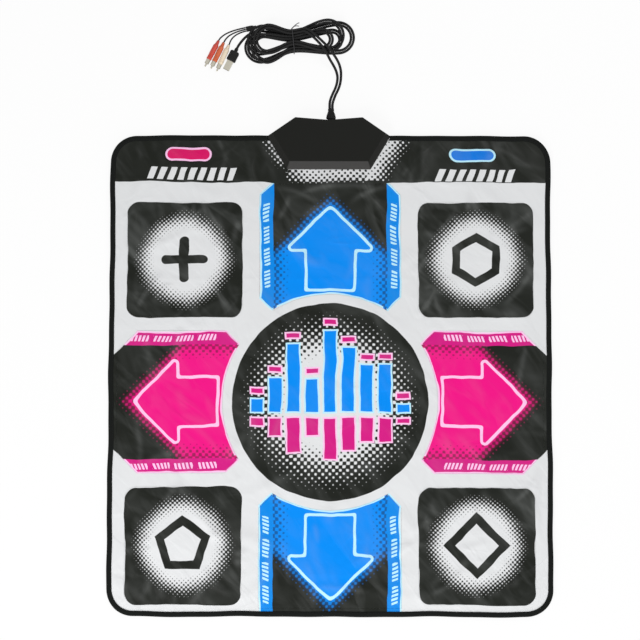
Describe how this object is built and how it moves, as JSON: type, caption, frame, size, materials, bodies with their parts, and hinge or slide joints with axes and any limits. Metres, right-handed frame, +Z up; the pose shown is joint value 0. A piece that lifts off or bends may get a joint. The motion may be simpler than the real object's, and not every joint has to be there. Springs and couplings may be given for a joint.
{
  "type": "dance_mat_controller",
  "caption": "Foldable soft dance mat controller with arrow pads and corner pads round a round field, capsule keys, a control box at its rear edge and tied cords with plugs.",
  "frame": {"origin": "On the floor under the middle of the mat and its control box together, cords left out.", "axes": "+Z is up from the floor, +Y points to the control box, +X points to the start key's side."},
  "size_m": [0.82, 1.1107, 0.026],
  "materials": {
    "white_vinyl": "satin",
    "black_vinyl": "satin",
    "blue_vinyl": "satin",
    "pink_vinyl": "satin",
    "black_binding": "matte",
    "grey_cloth": "matte",
    "pale_foam": "matte",
    "clear_film": "gloss",
    "box_plastic": "matte",
    "board_green": "satin",
    "chip_black": "matte",
    "header_white": "matte",
    "grey_rubber": "matte",
    "screw_steel": "satin",
    "cord_black": "satin",
    "plug_red": "satin",
    "plug_yellow": "satin",
    "plug_cream": "satin",
    "plug_metal": "polished"
  },
  "bodies": {
    "mat_body": {"bottom_cover": "grey_cloth", "base_foam": "pale_foam", "lower_contact_sheet": "clear_film", "spacer_foam": "pale_foam", "upper_contact_sheet": "clear_film", "top_cover": "white_vinyl", "edge_binding": "black_binding", "box_bottom_shell": "box_plastic", "box_top_shell": "box_plastic", "circuit_board": "board_green", "controller_chip": "chip_black", "wire_header": "header_white", "contact_clamp": "grey_rubber", "box_wires": "cord_black", "front_left_screw": "screw_steel", "front_right_screw": "screw_steel", "rear_left_screw": "screw_steel", "rear_right_screw": "screw_steel", "strain_relief": "cord_black", "av_cord": "cord_black", "av_cord_hank": "cord_black", "av_cord_end": "cord_black", "usb_cord": "cord_black", "usb_cord_hank": "cord_black", "usb_cord_end": "cord_black", "twist_tie": "box_plastic", "av_splitter": "cord_black", "red_lead": "cord_black", "yellow_lead": "cord_black", "white_lead": "cord_black", "red_plug_body": "plug_red", "yellow_plug_body": "plug_yellow", "white_plug_body": "plug_cream", "red_plug_contact": "plug_metal", "yellow_plug_contact": "plug_metal", "white_plug_contact": "plug_metal", "usb_plug_body": "cord_black", "usb_plug_shell": "plug_metal"},
    "up_pad_panel": {"up_pad": "blue_vinyl", "up_pad_contact": "clear_film"},
    "left_pad_panel": {"left_pad": "pink_vinyl", "left_pad_contact": "clear_film"},
    "down_pad_panel": {"down_pad": "blue_vinyl", "down_pad_contact": "clear_film"},
    "right_pad_panel": {"right_pad": "pink_vinyl", "right_pad_contact": "clear_film"},
    "rear_left_pad_panel": {"rear_left_pad": "black_vinyl", "rear_left_pad_contact": "clear_film"},
    "rear_right_pad_panel": {"rear_right_pad": "black_vinyl", "rear_right_pad_contact": "clear_film"},
    "front_left_pad_panel": {"front_left_pad": "black_vinyl", "front_left_pad_contact": "clear_film"},
    "front_right_pad_panel": {"front_right_pad": "black_vinyl", "front_right_pad_contact": "clear_film"},
    "select_button_key": {"select_button": "pink_vinyl", "select_button_contact": "clear_film"},
    "start_button_key": {"start_button": "blue_vinyl", "start_button_contact": "clear_film"}
  },
  "joints": [
    {"name": "up_pad_press", "type": "slide", "parent": "mat_body", "child": "up_pad_panel", "axis": [0, 0, -1], "range_m": [0, 0.0022], "stiffness_N_per_m": 3000, "springref_m": -0.0005, "deforming": ["spacer_foam"]},
    {"name": "left_pad_press", "type": "slide", "parent": "mat_body", "child": "left_pad_panel", "axis": [0, 0, -1], "range_m": [0, 0.0022], "stiffness_N_per_m": 3000, "springref_m": -0.0005, "deforming": ["spacer_foam"]},
    {"name": "down_pad_press", "type": "slide", "parent": "mat_body", "child": "down_pad_panel", "axis": [0, 0, -1], "range_m": [0, 0.0022], "stiffness_N_per_m": 3000, "springref_m": -0.0005, "deforming": ["spacer_foam"]},
    {"name": "right_pad_press", "type": "slide", "parent": "mat_body", "child": "right_pad_panel", "axis": [0, 0, -1], "range_m": [0, 0.0022], "stiffness_N_per_m": 3000, "springref_m": -0.0005, "deforming": ["spacer_foam"]},
    {"name": "rear_left_pad_press", "type": "slide", "parent": "mat_body", "child": "rear_left_pad_panel", "axis": [0, 0, -1], "range_m": [0, 0.0022], "stiffness_N_per_m": 3000, "springref_m": -0.0005, "deforming": ["spacer_foam"]},
    {"name": "rear_right_pad_press", "type": "slide", "parent": "mat_body", "child": "rear_right_pad_panel", "axis": [0, 0, -1], "range_m": [0, 0.0022], "stiffness_N_per_m": 3000, "springref_m": -0.0005, "deforming": ["spacer_foam"]},
    {"name": "front_left_pad_press", "type": "slide", "parent": "mat_body", "child": "front_left_pad_panel", "axis": [0, 0, -1], "range_m": [0, 0.0022], "stiffness_N_per_m": 3000, "springref_m": -0.0005, "deforming": ["spacer_foam"]},
    {"name": "front_right_pad_press", "type": "slide", "parent": "mat_body", "child": "front_right_pad_panel", "axis": [0, 0, -1], "range_m": [0, 0.0022], "stiffness_N_per_m": 3000, "springref_m": -0.0005, "deforming": ["spacer_foam"]},
    {"name": "select_button_press", "type": "slide", "parent": "mat_body", "child": "select_button_key", "axis": [0, 0, -1], "range_m": [0, 0.0022], "stiffness_N_per_m": 800, "springref_m": -0.0005, "deforming": ["spacer_foam"]},
    {"name": "start_button_press", "type": "slide", "parent": "mat_body", "child": "start_button_key", "axis": [0, 0, -1], "range_m": [0, 0.0022], "stiffness_N_per_m": 800, "springref_m": -0.0005, "deforming": ["spacer_foam"]}
  ]
}
